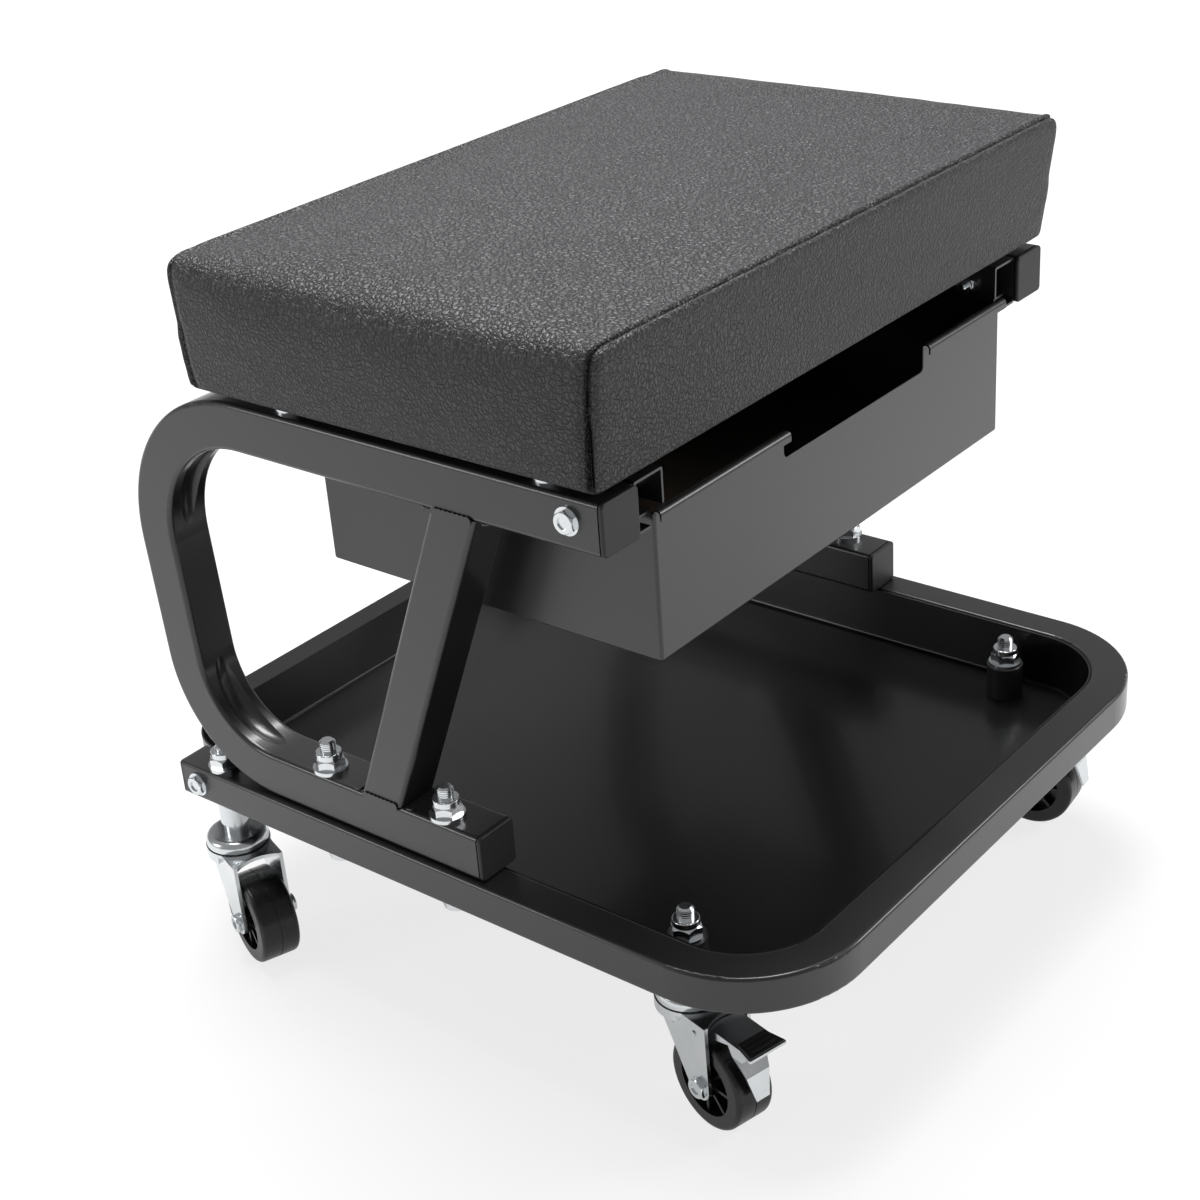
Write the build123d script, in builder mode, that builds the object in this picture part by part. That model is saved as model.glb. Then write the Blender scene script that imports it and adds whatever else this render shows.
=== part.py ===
from build123d import *
from math import atan2, cos
import os

os.makedirs("parts", exist_ok=True)

# The stool stands on the floor at z = 0. Its drawer opens towards -Y and the seat's long side lies along X.
# The origin is on the floor, under the middle of the whole stool.

# Driving sizes in millimetres: base frame and tool tray
base_width = 384.0
base_length = 388.0
base_tube = 20.0
base_wall = 1.5
base_rounding = 2.0
base_bend = 54.0
tray_overhang = 41.0
tray_depth = 34.0
tray_sheet = 1.0

# Driving sizes: side frames
arm_tube = 25.0
arm_wall = 1.5
arm_rounding = 2.5
arm_inset = 3.5
arm_rise = 222.0
arm_length = 298.0
foot_length = 194.0
upper_bend = 72.0
lower_bend = 58.0
back_lean = 13.0
back_set = 4.0

# Driving sizes: seat and drawer
seat_width = 379.0
seat_depth = 248.0
seat_rise = 67.0
seat_gap = 3.0
seat_nose = 1.5
drawer_width = 300.0
drawer_length = 204.0
drawer_height = 74.0
drawer_drop = 93.0
drawer_travel = 150.0
drawer_sheet = 1.0

# Driving sizes: casters, with the turn in degrees in which each one stands
wheel_radius = 25.0
wheel_width = 22.0
wheel_drop = 50.0
caster_trail = 21.0
front_stud_width = 306.0
front_stud_setback = 80.0
rear_stud_setback = 24.0
front_left_turn = 14.0
front_right_turn = -6.0
rear_turn = 20.0

# Shared clearances
overrun = 1.0
bolt_gap = 0.3
running_gap = 0.3
shaft_gap = 0.06

# Heights and places that follow from the driving sizes
mount_level = wheel_drop + wheel_radius
base_top = mount_level + tray_depth
base_low = base_top - base_tube
leg_x = (base_width - base_tube) / 2
leg_inner_x = base_width / 2 - base_tube
front_face = -(base_length + tray_overhang) / 2
leg_end = front_face + base_length
arm_x = (base_width - arm_tube) / 2 - arm_inset
arm_outer_x = arm_x + arm_tube / 2
arm_inner_x = arm_x - arm_tube / 2
arm_top = base_top + arm_rise
arm_low = arm_top - arm_tube
foot_top = base_top + arm_tube
upper_corner = leg_end - back_set
lower_corner = upper_corner - back_lean
arm_front = upper_corner - arm_length
foot_front = lower_corner - foot_length
seat_front = arm_front - seat_nose
seat_back = seat_front + seat_depth
front_stud_x = front_stud_width / 2
front_stud_y = front_face + front_stud_setback
rear_stud_y = leg_end - rear_stud_setback

# Fasteners: large ones of 8 mm and small ones of 6 mm
large_radius = 4.0
large_hex = 14.0
large_head = 5.3
large_nut = 10.5
large_flange_radius = 9.0
large_flange = 2.0
large_tip = 6.5
rear_tip = 3.0
small_radius = 3.0
small_hex = 10.0
small_head = 2.6
small_nut = 5.0
small_flange_radius = 6.6
small_flange = 1.2
crown_share = 0.04
turned_share = 0.6
collar_height_share = 0.3
collar_radius_share = 0.48
dish_share = 0.3
tip_share = 0.25


def save(piece, name):
    """Labels a finished piece and writes it."""
    piece.label = name
    export_step(piece, f"parts/{name}.step")


def both_sides(piece):
    """The left piece and its mirror image on the right, as separate solids."""
    with BuildPart() as pair:
        add(piece)
        mirror(piece, about=Plane.YZ)
    return pair.part


def turned_hexagon(plane, hexagon, height):
    """A hexagonal bar that stands on the plane, its upper corners turned down to a circle."""
    with BuildPart() as bar:
        with BuildSketch(plane):
            Circle(hexagon * turned_share)
        extrude(amount=height)
        rim = bar.faces().sort_by(Axis(plane.origin, plane.z_dir))[-1]
        chamfer(rim.edges(), length=hexagon * (turned_share - collar_radius_share))
        with BuildSketch(plane):
            RegularPolygon(hexagon / 2, 6, major_radius=False)
        extrude(amount=height, mode=Mode.INTERSECT)
    return bar.part


def flange_nut(plane, radius, hexagon, height, flange_radius, flange):
    """A flanged lock nut that stands on the plane, a round collar on its hexagon, bored for its bolt."""
    collar = height * collar_height_share
    with BuildPart() as nut:
        add(turned_hexagon(plane.offset(flange), hexagon, height - flange - collar))
        with BuildSketch(plane.offset(height - collar)):
            Circle(hexagon * collar_radius_share)
        extrude(amount=collar)
        brim = nut.faces().sort_by(Axis(plane.origin, plane.z_dir))[-1]
        fillet(brim.edges(), radius=hexagon * crown_share)
        with BuildSketch(plane):
            Circle(flange_radius)
        extrude(amount=flange)
        with BuildSketch(plane.offset(-overrun)):
            Circle(radius + shaft_gap)
        extrude(amount=height + 2 * overrun, mode=Mode.SUBTRACT)
    return nut.part


def hex_bolt(plane, radius, hexagon, head, length, flange_radius, flange):
    """A bolt whose flanged head stands on the plane and whose shank runs back behind it."""
    with BuildPart() as bolt:
        add(turned_hexagon(plane.offset(flange), hexagon, head))
        with BuildSketch(plane.offset(flange + head)):
            Circle(hexagon * dish_share)
        extrude(amount=-head * dish_share, mode=Mode.SUBTRACT)
        with BuildSketch(plane):
            Circle(flange_radius)
        extrude(amount=flange)
        with BuildSketch(plane):
            Circle(radius)
        extrude(amount=-length)
        tip = bolt.faces().sort_by(Axis(plane.origin, plane.z_dir))[0]
        chamfer(tip.edges(), length=radius * tip_share)
    return bolt.part


# Base frame: a tube swept along a U and hollowed, with holes for the studs and bolts
frame_bolt_shift = 4.0
frame_bolt_x = arm_x + frame_bolt_shift
frame_bolt_setback = 25.0
frame_bolt_pitch = 80.0
frame_bolt_ys = [foot_front + frame_bolt_setback, foot_front + frame_bolt_setback + frame_bolt_pitch]
tray_bolt_setback = 12.0
tray_bolt_y = leg_end - tray_bolt_setback
tray_bolt_z = base_top - base_tube / 2

with BuildPart() as base_frame:
    with BuildLine(Plane.XY.offset(base_top - base_tube / 2)) as base_route:
        bar_y = front_face + base_tube / 2
        FilletPolyline(
            (-leg_x, leg_end), (-leg_x, bar_y), (leg_x, bar_y), (leg_x, leg_end), radius=base_bend
        )
    base_start = Plane(origin=base_route.line @ 0, x_dir=(1, 0, 0), z_dir=base_route.line % 0)
    with BuildSketch(base_start):
        RectangleRounded(base_tube, base_tube, base_rounding)
    sweep(path=base_route.line)
    with BuildSketch(base_start):
        RectangleRounded(base_tube - 2 * base_wall, base_tube - 2 * base_wall, base_rounding - base_wall)
    sweep(path=base_route.line, mode=Mode.SUBTRACT)
    with BuildSketch(Plane.XY.offset(base_low - overrun)):
        with Locations((-leg_x, rear_stud_y), (leg_x, rear_stud_y)):
            Circle(large_radius + bolt_gap)
        for side in (-1, 1):
            for bolt_y in frame_bolt_ys:
                with Locations((side * frame_bolt_x, bolt_y)):
                    Circle(large_radius + bolt_gap)
    extrude(amount=base_tube + 2 * overrun, mode=Mode.SUBTRACT)
    with BuildSketch(Plane.YZ):
        with Locations((tray_bolt_y, tray_bolt_z)):
            Circle(small_radius + bolt_gap)
    extrude(amount=base_width, both=True, mode=Mode.SUBTRACT)
save(base_frame.part, "base_frame")

# End caps of the legs: a flange over the tube's end and a plug inside it
cap_flange = 2.0
cap_plug = 6.0
cap_plug_gap = 0.1
cap_side = base_tube - 2 * (base_wall + cap_plug_gap)

with BuildPart() as leg_cap:
    with BuildSketch(Plane.XZ.offset(-leg_end)):
        with Locations((-leg_x, base_top - base_tube / 2)):
            RectangleRounded(base_tube, base_tube, base_rounding)
    extrude(amount=-cap_flange)
    fillet(leg_cap.faces().sort_by(Axis.Y)[-1].edges(), radius=cap_flange / 2)
    with BuildSketch(Plane.XZ.offset(-leg_end)):
        with Locations((-leg_x, base_top - base_tube / 2)):
            RectangleRounded(cap_side, cap_side, base_rounding - base_wall)
    extrude(amount=cap_plug)
save(both_sides(leg_cap.part), "base_caps")

# Tool tray: a folded sheet tray inside the U, its corners following the tube's inner bend
tray_rear_corner = 33.0
tray_rim = 14.0
tray_lip = 6.0
tray_reveal = 1.0
tray_fold = 2.0
tray_half = leg_inner_x
tray_front = front_face + base_tube
tray_back = leg_end + tray_overhang - tray_rim
tray_top = base_top - tray_reveal
tray_front_corner = base_bend - base_tube / 2


def tray_block(inset, low, high):
    """The tray's rounded block, drawn in by the inset, between two heights."""
    with BuildPart() as block:
        with BuildSketch(Plane.XY.offset(low)) as plan:
            with Locations((0, (tray_front + tray_back) / 2)):
                Rectangle(2 * (tray_half - inset), tray_back - tray_front - 2 * inset)
            fillet(plan.vertices().group_by(Axis.Y)[0], radius=tray_front_corner - inset)
            fillet(plan.vertices().group_by(Axis.Y)[-1], radius=tray_rear_corner - inset)
        extrude(amount=high - low)
        fillet(block.faces().sort_by(Axis.Z)[0].edges(), radius=tray_fold + tray_sheet - inset)
    return block.part


with BuildPart() as tool_tray:
    add(tray_block(0, mount_level, tray_top))
    rim_half = tray_half - tray_rear_corner
    with BuildSketch(Plane.XY.offset(tray_top - tray_sheet)) as rim_plan:
        with Locations((0, tray_back + tray_rim / 2 - tray_sheet / 2)):
            Rectangle(2 * rim_half, tray_rim + tray_sheet)
        fillet(rim_plan.vertices().group_by(Axis.Y)[-1], radius=tray_rim / 2)
    extrude(amount=tray_sheet)
    with BuildSketch(Plane.XY.offset(tray_top - tray_lip)):
        with Locations((0, tray_back + tray_rim - tray_sheet / 2)):
            Rectangle(2 * rim_half - tray_rim, tray_sheet)
    extrude(amount=tray_lip)
    add(tray_block(tray_sheet, mount_level + tray_sheet, tray_top + overrun), mode=Mode.SUBTRACT)
    with BuildSketch(Plane.XY.offset(mount_level - overrun)):
        with Locations((-front_stud_x, front_stud_y), (front_stud_x, front_stud_y)):
            Circle(large_radius + bolt_gap)
    extrude(amount=tray_sheet + 2 * overrun, mode=Mode.SUBTRACT)
    with BuildSketch(Plane.YZ):
        with Locations((tray_bolt_y, tray_bolt_z)):
            Circle(small_radius + bolt_gap)
    extrude(amount=base_width, both=True, mode=Mode.SUBTRACT)
save(tool_tray.part, "tool_tray")

# Side frames: square tube bent to a C, with the inside of both bends crushed in as bending leaves it
crush_depth = 3.5
crush_radius = 8.0
crush_shift = 12.0
drawer_set = 1.0
rail_sheet = 1.2
rail_length = drawer_set + drawer_length + running_gap + rail_sheet
rail_bolt_setback = 16.0
rail_bolt_drop = 11.0
rail_bolt_y = arm_front + rail_bolt_setback
rail_bolt_z = arm_top - rail_bolt_drop
rail_screw_margin = 34.0
rail_screw_y = arm_front + rail_length - rail_screw_margin
rail_screw_radius = 2.0
seat_bolt_setback = 35.5
seat_bolt_pitch_share = 0.63
seat_bolt_front = seat_front + seat_bolt_setback
seat_bolt_ys = [seat_bolt_front, seat_bolt_front + seat_depth * seat_bolt_pitch_share]

with BuildLine(Plane.YZ.offset(-arm_x)) as arm_route:
    FilletPolyline(
        (arm_front, arm_top - arm_tube / 2),
        (upper_corner, arm_top - arm_tube / 2),
        (lower_corner, base_top + arm_tube / 2),
        (foot_front, base_top + arm_tube / 2),
        radius=[upper_bend, lower_bend],
    )
arm_start = Plane(origin=arm_route.line @ 0, x_dir=(1, 0, 0), z_dir=arm_route.line % 0)
bends = arm_route.line.edges().filter_by(GeomType.CIRCLE).sort_by(Axis.Z)


def crush_ring(bend, bend_radius, wall):
    """The ring that presses into the inside of one bend, grown by the wall."""
    middle = bend @ 0.5
    towards = (middle - bend.arc_center).normalized()
    centre = bend.arc_center + towards * crush_shift
    ring_radius = bend_radius - arm_tube / 2 + crush_depth - crush_radius - crush_shift
    return Location(centre, (0, 90, 0)) * Torus(ring_radius, crush_radius + wall)


with BuildPart() as arm_bore:
    with BuildSketch(arm_start):
        RectangleRounded(arm_tube - 2 * arm_wall, arm_tube - 2 * arm_wall, arm_rounding - arm_wall)
    sweep(path=arm_route.line)
    add(crush_ring(bends[0], lower_bend, arm_wall), mode=Mode.SUBTRACT)
    add(crush_ring(bends[-1], upper_bend, arm_wall), mode=Mode.SUBTRACT)

with BuildPart() as side_frame_left:
    with BuildSketch(arm_start):
        RectangleRounded(arm_tube, arm_tube, arm_rounding)
    sweep(path=arm_route.line)
    add(crush_ring(bends[0], lower_bend, 0), mode=Mode.SUBTRACT)
    add(crush_ring(bends[-1], upper_bend, 0), mode=Mode.SUBTRACT)
    add(arm_bore.part, mode=Mode.SUBTRACT)
    with BuildSketch(Plane.XY.offset(base_top - overrun)):
        for bolt_y in frame_bolt_ys:
            with Locations((-frame_bolt_x, bolt_y)):
                Circle(large_radius + bolt_gap)
    extrude(amount=arm_tube + 2 * overrun, mode=Mode.SUBTRACT)
    seat_holes = (
        (arm_low - overrun, large_flange_radius + bolt_gap),
        (arm_top - arm_wall - overrun, large_radius + bolt_gap),
    )
    for hole_low, hole_radius in seat_holes:
        with BuildSketch(Plane.XY.offset(hole_low)):
            for bolt_y in seat_bolt_ys:
                with Locations((-arm_x, bolt_y)):
                    Circle(hole_radius)
        extrude(amount=arm_wall + 2 * overrun, mode=Mode.SUBTRACT)
    with BuildSketch(Plane.YZ.offset(-arm_outer_x - overrun)):
        with Locations((rail_bolt_y, rail_bolt_z)):
            Circle(small_radius + bolt_gap)
    extrude(amount=arm_tube + 2 * overrun, mode=Mode.SUBTRACT)
    with BuildSketch(Plane.YZ.offset(-arm_inner_x + overrun)):
        with Locations((rail_screw_y, rail_bolt_z)):
            Circle(rail_screw_radius + shaft_gap)
    extrude(amount=-arm_tube / 2, mode=Mode.SUBTRACT)
save(side_frame_left.part, "side_frame_left")

with BuildPart() as side_frame_right:
    mirror(side_frame_left.part, about=Plane.YZ)
save(side_frame_right.part, "side_frame_right")

# Braces: slanted square tubes between foot and arm, cut level at both ends
brace_high_setback = 83.0
brace_low_setback = 62.0
brace_high = arm_front + brace_high_setback
brace_low = foot_front + brace_low_setback
brace_lean = atan2(brace_low - brace_high, arm_low - foot_top)
brace_half = arm_tube / 2 / cos(brace_lean)


def brace_block(half, depth):
    """A slanted block of the given level half width and depth, between foot and arm."""
    with BuildPart() as block:
        with BuildSketch(Plane.YZ.offset(-arm_x)):
            with BuildLine():
                Polyline(
                    (brace_low - half, foot_top),
                    (brace_low + half, foot_top),
                    (brace_high + half, arm_low),
                    (brace_high - half, arm_low),
                    close=True,
                )
            make_face()
        extrude(amount=depth / 2, both=True)
    return block.part


with BuildPart() as brace_left:
    add(brace_block(brace_half, arm_tube))
    slant = Axis((0, 0, 0), (0, brace_high - brace_low, arm_low - foot_top))
    fillet(brace_left.edges().filter_by(slant), radius=arm_rounding)
    add(brace_block(brace_half - arm_wall / cos(brace_lean), arm_tube - 2 * arm_wall), mode=Mode.SUBTRACT)
save(brace_left.part, "brace_left")

with BuildPart() as brace_right:
    mirror(brace_left.part, about=Plane.YZ)
save(brace_right.part, "brace_right")

# Weld beads: rows of overlapping drops round both ends of each brace
bead_radius = 2.2
bead_pitch = 2.7
bead_height = 0.9
bead_count = 8

with BuildPart() as weld_bead:
    for place, middle in ((arm_low, brace_high), (foot_top, brace_low)):
        with BuildSketch(Plane.YZ.offset(-arm_outer_x)):
            for number in range(bead_count):
                with Locations((middle + (number - (bead_count - 1) / 2) * bead_pitch, place)):
                    Circle(bead_radius)
        extrude(amount=-bead_height)
    for place, middle, rise in ((arm_low, brace_high, -1), (foot_top, brace_low, 1)):
        with BuildSketch(Plane.XY.offset(place)):
            for side in (-1, 1):
                for number in range(bead_count):
                    bead_x = -arm_x + (number - (bead_count - 1) / 2) * bead_pitch
                    with Locations((bead_x, middle + side * (brace_half + bead_radius + 2 * bead_height))):
                        Circle(bead_radius)
        extrude(amount=rise * bead_height)
save(both_sides(weld_bead.part), "weld_beads")

# Plugs in the four front ends of the side frames
plug_flange = 2.6
plug_ease = 1.1
plug_depth = 10.0
plug_side = arm_tube - 2 * (arm_wall + cap_plug_gap)
plug_places = ((arm_front, arm_top - arm_tube / 2), (foot_front, base_top + arm_tube / 2))

with BuildPart() as frame_plug:
    for front, level in plug_places:
        with BuildSketch(Plane.XZ.offset(-front)):
            with Locations((-arm_x, level)):
                RectangleRounded(arm_tube, arm_tube, arm_rounding)
        extrude(amount=plug_flange)
    fillet(frame_plug.faces().filter_by(Axis.Y).edges(), radius=plug_ease)
    for front, level in plug_places:
        with BuildSketch(Plane.XZ.offset(-front)):
            with Locations((-arm_x, level)):
                RectangleRounded(plug_side, plug_side, arm_rounding - arm_wall)
        extrude(amount=-plug_depth)
save(both_sides(frame_plug.part), "frame_plugs")

# Bolts through foot and leg, with their nuts on the foot
with BuildPart() as frame_bolts:
    for bolt_y in frame_bolt_ys:
        under_leg = Plane(origin=(-frame_bolt_x, bolt_y, base_low), z_dir=(0, 0, -1))
        shank = base_tube + arm_tube + large_nut + large_tip
        add(hex_bolt(under_leg, large_radius, large_hex, large_head, shank, large_hex / 2, large_flange))
save(both_sides(frame_bolts.part), "frame_bolts")

with BuildPart() as frame_nuts:
    for bolt_y in frame_bolt_ys:
        on_foot = Plane(origin=(-frame_bolt_x, bolt_y, foot_top))
        add(flange_nut(on_foot, large_radius, large_hex, large_nut, large_flange_radius, large_flange))
save(both_sides(frame_nuts.part), "frame_nuts")

# Bolts that hold the tray between the ends of the legs
outside_leg = Plane(origin=(-base_width / 2, tray_bolt_y, tray_bolt_z), z_dir=(-1, 0, 0))
inside_tray = Plane(origin=(-tray_half + tray_sheet, tray_bolt_y, tray_bolt_z), z_dir=(1, 0, 0))
tray_shank = base_tube + tray_sheet + small_nut + small_radius
tray_bolt = hex_bolt(
    outside_leg, small_radius, small_hex, small_head, tray_shank, small_flange_radius, small_flange
)
save(both_sides(tray_bolt), "tray_bolts")
tray_nut = flange_nut(inside_tray, small_radius, small_hex, small_nut, small_hex / 2, small_flange)
save(both_sides(tray_nut), "tray_nuts")

# Drawer rails: channels along the arms' inner sides, with a ledge below and a leg hanging inwards
rail_width = 20.0
rail_ledge = 10.0
rail_leg = 17.0
drawer_front = arm_front + drawer_set
drawer_back = drawer_front + drawer_length

with BuildPart() as rail_left:
    with BuildSketch(Plane.XZ.offset(-arm_front)):
        with BuildLine():
            Polyline(
                (-arm_inner_x, arm_low),
                (-arm_inner_x + rail_ledge, arm_low),
                (-arm_inner_x + rail_ledge, arm_low + rail_sheet),
                (-arm_inner_x + rail_sheet, arm_low + rail_sheet),
                (-arm_inner_x + rail_sheet, arm_top - rail_sheet),
                (-arm_inner_x + rail_width - rail_sheet, arm_top - rail_sheet),
                (-arm_inner_x + rail_width - rail_sheet, arm_top - rail_leg),
                (-arm_inner_x + rail_width, arm_top - rail_leg),
                (-arm_inner_x + rail_width, arm_top),
                (-arm_inner_x, arm_top),
                close=True,
            )
        make_face()
    extrude(amount=-rail_length)
    with BuildSketch(Plane.XZ.offset(-arm_front - rail_length)):
        with Locations((-arm_inner_x + rail_width / 2, arm_top - rail_leg / 2)):
            Rectangle(rail_width, rail_leg)
    extrude(amount=rail_sheet)
    outer_edges = rail_left.edges().filter_by(Axis.Y).group_by(Axis.Z)[-1]
    fillet(outer_edges, radius=rail_sheet)
    with BuildSketch(Plane.YZ.offset(-arm_inner_x - overrun)):
        with Locations((rail_bolt_y, rail_bolt_z)):
            Circle(small_radius + bolt_gap)
    extrude(amount=rail_width + 2 * overrun, mode=Mode.SUBTRACT)
    with BuildSketch(Plane.YZ.offset(-arm_inner_x - overrun)):
        with Locations((rail_screw_y, rail_bolt_z)):
            Circle(rail_screw_radius + shaft_gap)
    extrude(amount=rail_sheet + 2 * overrun, mode=Mode.SUBTRACT)
save(rail_left.part, "rail_left")

with BuildPart() as rail_right:
    mirror(rail_left.part, about=Plane.YZ)
save(rail_right.part, "rail_right")

# Rail bolts from the arms' outer sides, their nuts on the rails' hanging legs, and the rear rail screws
outside_arm = Plane(origin=(-arm_outer_x, rail_bolt_y, rail_bolt_z), z_dir=(-1, 0, 0))
inside_rail = Plane(origin=(-arm_inner_x + rail_width, rail_bolt_y, rail_bolt_z), z_dir=(1, 0, 0))
rail_shank = arm_tube + rail_width + small_nut + small_radius
rail_bolt = hex_bolt(
    outside_arm, small_radius, small_hex, small_head, rail_shank, small_flange_radius, small_flange
)
save(both_sides(rail_bolt), "rail_bolts")
rail_nut = flange_nut(inside_rail, small_radius, small_hex, small_nut, small_hex / 2, small_flange)
save(both_sides(rail_nut), "rail_nuts")

rail_screw_head = 2.2
rail_screw_head_radius = 3.8
rail_screw_length = 9.0

with BuildPart() as rail_screw:
    with BuildSketch(Plane.YZ.offset(-arm_inner_x + rail_sheet)):
        with Locations((rail_screw_y, rail_bolt_z)):
            Circle(rail_screw_head_radius)
    extrude(amount=rail_screw_head)
    fillet(rail_screw.faces().sort_by(Axis.X)[-1].edges(), radius=rail_screw_head / 2)
    with BuildSketch(Plane.YZ.offset(-arm_inner_x + rail_sheet)):
        with Locations((rail_screw_y, rail_bolt_z)):
            Circle(rail_screw_radius)
    extrude(amount=-rail_screw_length)
save(both_sides(rail_screw.part), "rail_screws")

# Drawer: a folded sheet box, its front edge rolled outwards and notched for the fingers
drawer_low = arm_top - drawer_drop
drawer_top = drawer_low + drawer_height
drawer_half = drawer_width / 2
drawer_fold = 1.6
front_cut = 1.5
hem_radius = 2.6
hem_leg = 2.4
notch_half = 62.0
notch_depth = 12.0
notch_shift = 11.0
notch_rounding = 3.0
notch_edge_share = 0.4
flange_width = 8.5
lug_width = 6.0
lug_height = 9.0
front_top = drawer_top - front_cut
lug_front = rail_bolt_y + small_radius + drawer_travel + running_gap
lug_middle = drawer_top + (lug_height - drawer_sheet) / 2
flange_length = drawer_length - drawer_fold - drawer_sheet
flange_middle = drawer_back - flange_length / 2

with BuildPart() as drawer_box:
    with BuildSketch(Plane.XY.offset(drawer_low)):
        with Locations((0, drawer_front + drawer_length / 2)):
            Rectangle(drawer_width, drawer_length)
    extrude(amount=drawer_height)
    fillet(drawer_box.edges().filter_by(Axis.Z), radius=drawer_fold)
    fillet(drawer_box.faces().sort_by(Axis.Z)[0].edges(), radius=drawer_fold)
    with BuildSketch(Plane.XY.offset(drawer_low + drawer_sheet)):
        with Locations((0, drawer_front + drawer_length / 2)):
            RectangleRounded(
                drawer_width - 2 * drawer_sheet, drawer_length - 2 * drawer_sheet, drawer_fold - drawer_sheet
            )
    extrude(amount=drawer_height, mode=Mode.SUBTRACT)
    with BuildSketch(Plane.XZ.offset(-drawer_front + overrun)):
        with BuildLine():
            Polyline(
                (-drawer_half - overrun, front_top),
                (notch_shift - notch_half, front_top),
                (notch_shift - notch_half, front_top - notch_depth),
                (notch_shift + notch_half, front_top - notch_depth),
                (notch_shift + notch_half, front_top),
                (drawer_half + overrun, front_top),
                (drawer_half + overrun, drawer_top + overrun),
                (-drawer_half - overrun, drawer_top + overrun),
                close=True,
            )
        make_face()
    extrude(amount=-drawer_fold - drawer_sheet - overrun, mode=Mode.SUBTRACT)
    notch_edges = drawer_box.edges().filter_by(Axis.Y).filter_by_position(
        Axis.Z, front_top - notch_depth - overrun, front_top + overrun
    )
    notch_corners = notch_edges.filter_by_position(
        Axis.X, notch_shift - notch_half - overrun, notch_shift + notch_half + overrun
    )
    fillet(notch_corners.group_by(Axis.Z)[0], radius=notch_rounding)
    notch_floor = drawer_box.edges().filter_by(Axis.X).filter_by_position(
        Axis.Z, front_top - notch_depth - overrun, front_top - notch_depth + overrun
    )
    fillet(notch_floor, radius=drawer_sheet * notch_edge_share)
    hem_spans = (
        (-drawer_half, notch_shift - notch_half),
        (notch_shift + notch_half, drawer_half),
    )
    for hem_start, hem_end in hem_spans:
        with BuildSketch(Plane.YZ.offset(hem_start)):
            with Locations((drawer_front + drawer_sheet - hem_radius, front_top)):
                Circle(hem_radius)
                Circle(hem_radius - drawer_sheet, mode=Mode.SUBTRACT)
            with Locations((drawer_front + drawer_sheet - hem_radius, front_top - hem_radius)):
                Rectangle(2 * hem_radius + overrun, 2 * hem_radius, mode=Mode.SUBTRACT)
            with Locations((drawer_front + drawer_sheet * 3 / 2 - 2 * hem_radius, front_top - hem_leg / 2)):
                Rectangle(drawer_sheet, hem_leg)
        extrude(amount=hem_end - hem_start)
    with BuildSketch(Plane.XY.offset(drawer_top - drawer_sheet)):
        for side in (-1, 1):
            with Locations((side * (drawer_half + (flange_width - drawer_sheet) / 2), flange_middle)):
                Rectangle(flange_width + drawer_sheet, flange_length)
    extrude(amount=drawer_sheet)
    with BuildSketch(Plane.XZ.offset(-lug_front)):
        for side in (-1, 1):
            with Locations((side * (drawer_half + flange_width / 2), lug_middle)):
                Rectangle(lug_width, lug_height + drawer_sheet)
    extrude(amount=-drawer_sheet)
save(drawer_box.part, "drawer_box")

# Glide strips under the drawer's flanges, which run on the rails' ledges
glide_low = arm_low + rail_sheet + running_gap
glide_width = 8.0
glide_setback = 10.0
glide_rounding = 1.0

with BuildPart() as glide:
    with BuildSketch(Plane.XY.offset(glide_low)) as glide_plan:
        with Locations((-drawer_half - glide_width / 2, drawer_front + drawer_length / 2)):
            Rectangle(glide_width, drawer_length - 2 * glide_setback)
        fillet(glide_plan.vertices(), radius=glide_rounding)
    extrude(amount=drawer_top - drawer_sheet - glide_low)
save(both_sides(glide.part), "drawer_glides")

# Seat cushion: its ends spread, its front leans out and its back leans in towards the crowned top
cover_sheet = 1.2
cover_wrap = 28.0
board_thickness = 12.0
board_inset = 2.0
cushion_gap = 0.3
side_bulge = 4.5
side_spread = 5.0
front_flare = 8.0
rear_bulge = 1.5
rear_slope = 5.0
seat_crown = 3.0
end_rounding = 9.0
front_rounding = 4.0
corner_rounding = 7.0
corner_ease = 0.6
end_low_rounding = 2.5
front_low_rounding = 2.0
seat_low = arm_top + seat_gap
seat_edge = seat_low + seat_rise
seat_middle = (seat_front + seat_back) / 2
seat_half = seat_width / 2


def corner_column(front, back, half, corner, lean):
    """A column with rounded corners that leans forward by the lean over the seat's height."""
    with BuildPart() as column:
        with BuildSketch(Plane.XY.offset(seat_low)) as plan:
            with Locations((0, (front + back) / 2)):
                Rectangle(2 * half, back - front)
            fillet(plan.vertices(), radius=corner)
        extrude(amount=2 * seat_rise, dir=(0, -lean, seat_rise))
    return column.part


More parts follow.
